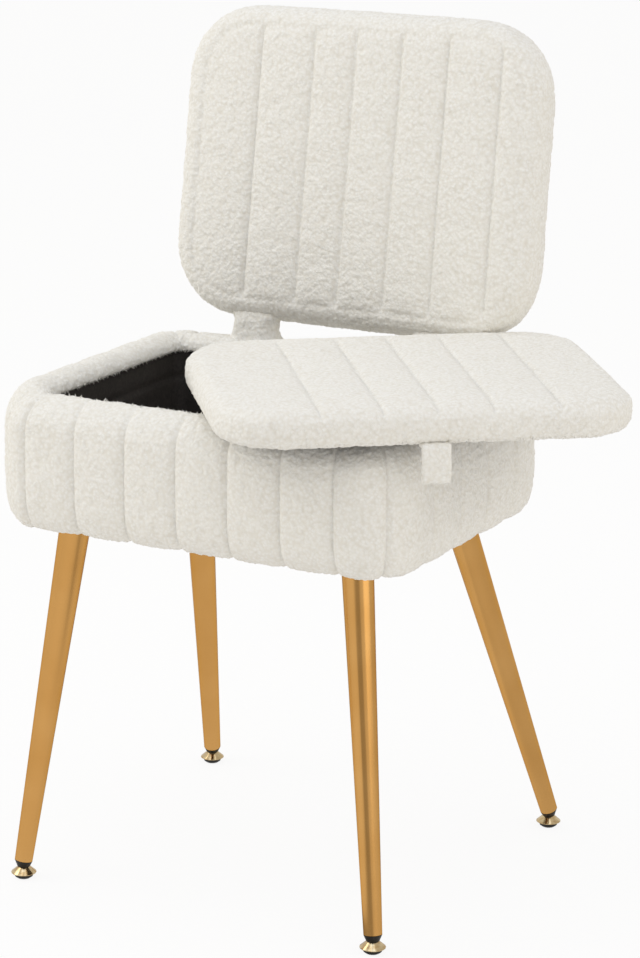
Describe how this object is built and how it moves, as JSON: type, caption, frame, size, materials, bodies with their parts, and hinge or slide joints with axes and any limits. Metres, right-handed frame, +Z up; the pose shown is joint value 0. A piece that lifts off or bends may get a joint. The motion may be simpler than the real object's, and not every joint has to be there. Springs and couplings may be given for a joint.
{
  "type": "vanity stool",
  "caption": "Low-backed upholstered vanity stool with a storage box seat, loose padded lid with a pull tab and splayed metal legs on levelling glides.",
  "frame": {"origin": "on the floor under the middle of the whole stool's bounding box, with the lid lying askew as in the picture", "axes": "+Z up, +Y from the front of the seat towards the backrest, +X to the right as seen from the front"},
  "size_m": [0.521, 0.4246, 0.7227],
  "materials": {
    "pile_cloth": "ivory looped pile cloth",
    "lining_cloth": "black non-woven cloth",
    "plywood": "bare plywood",
    "foam": "upholstery foam",
    "leg_gold": "satin gold plating on steel tube",
    "glide_brass": "polished brass plating",
    "black_nylon": "moulded black nylon",
    "zinc_steel": "zinc plated steel"
  },
  "bodies": {
    "stool": {"base_board": "plywood", "dust_cover": "lining_cloth", "box_front_panel": "plywood", "box_back_panel": "plywood", "box_left_panel": "plywood", "box_right_panel": "plywood", "box_corner_front_left": "plywood", "box_corner_front_right": "plywood", "box_corner_rear_left": "plywood", "box_corner_rear_right": "plywood", "box_lining": "lining_cloth", "box_foam": "foam", "box_cover": "pile_cloth", "leg_front_left": "leg_gold", "leg_plug_front_left": "black_nylon", "leg_bolt_front_left_1": "zinc_steel", "leg_bolt_front_left_2": "zinc_steel", "leg_bolt_front_left_3": "zinc_steel", "leg_front_right": "leg_gold", "leg_plug_front_right": "black_nylon", "leg_bolt_front_right_1": "zinc_steel", "leg_bolt_front_right_2": "zinc_steel", "leg_bolt_front_right_3": "zinc_steel", "leg_rear_left": "leg_gold", "leg_plug_rear_left": "black_nylon", "leg_bolt_rear_left_1": "zinc_steel", "leg_bolt_rear_left_2": "zinc_steel", "leg_bolt_rear_left_3": "zinc_steel", "leg_rear_right": "leg_gold", "leg_plug_rear_right": "black_nylon", "leg_bolt_rear_right_1": "zinc_steel", "leg_bolt_rear_right_2": "zinc_steel", "leg_bolt_rear_right_3": "zinc_steel", "backrest_cover": "pile_cloth", "backrest_foam": "foam", "backrest_board": "plywood", "backrest_rear_pad": "pile_cloth", "post_bar_left": "zinc_steel", "post_bar_right": "zinc_steel", "post_bolt_left_1": "zinc_steel", "post_bolt_left_2": "zinc_steel", "post_bolt_right_1": "zinc_steel", "post_bolt_right_2": "zinc_steel", "backrest_bolt_left": "zinc_steel", "backrest_bolt_right": "zinc_steel", "post_sleeve_left": "pile_cloth", "post_sleeve_right": "pile_cloth"},
    "lid": {"lid_cover": "pile_cloth", "lid_board": "plywood", "lid_foam": "foam", "lid_underlining": "lining_cloth", "lid_tab": "pile_cloth"},
    "glide_front_left": {"glide_front_left": "glide_brass", "glide_pad_front_left": "black_nylon"},
    "glide_front_right": {"glide_front_right": "glide_brass", "glide_pad_front_right": "black_nylon"},
    "glide_rear_left": {"glide_rear_left": "glide_brass", "glide_pad_rear_left": "black_nylon"},
    "glide_rear_right": {"glide_rear_right": "glide_brass", "glide_pad_rear_right": "black_nylon"}
  },
  "joints": [
    {"name": "lid_turn", "type": "hinge", "parent": "stool", "child": "lid", "pos_m": [0.01377, 0.17967, 0.4313], "axis": [0, 0, 1], "range_deg": [-38, 0]},
    {"name": "glide_turn_front_left", "type": "hinge", "parent": "stool", "child": "glide_front_left", "pos_m": [-0.23949, -0.13249, 0.0102], "axis": [0, 0, 1], "continuous": true},
    {"name": "glide_turn_front_right", "type": "hinge", "parent": "stool", "child": "glide_front_right", "pos_m": [0.09843, -0.13249, 0.0102], "axis": [0, 0, 1], "continuous": true},
    {"name": "glide_turn_rear_left", "type": "hinge", "parent": "stool", "child": "glide_rear_left", "pos_m": [-0.24458, 0.20144, 0.0102], "axis": [0, 0, 1], "continuous": true},
    {"name": "glide_turn_rear_right", "type": "hinge", "parent": "stool", "child": "glide_rear_right", "pos_m": [0.10351, 0.20144, 0.0102], "axis": [0, 0, 1], "continuous": true}
  ]
}
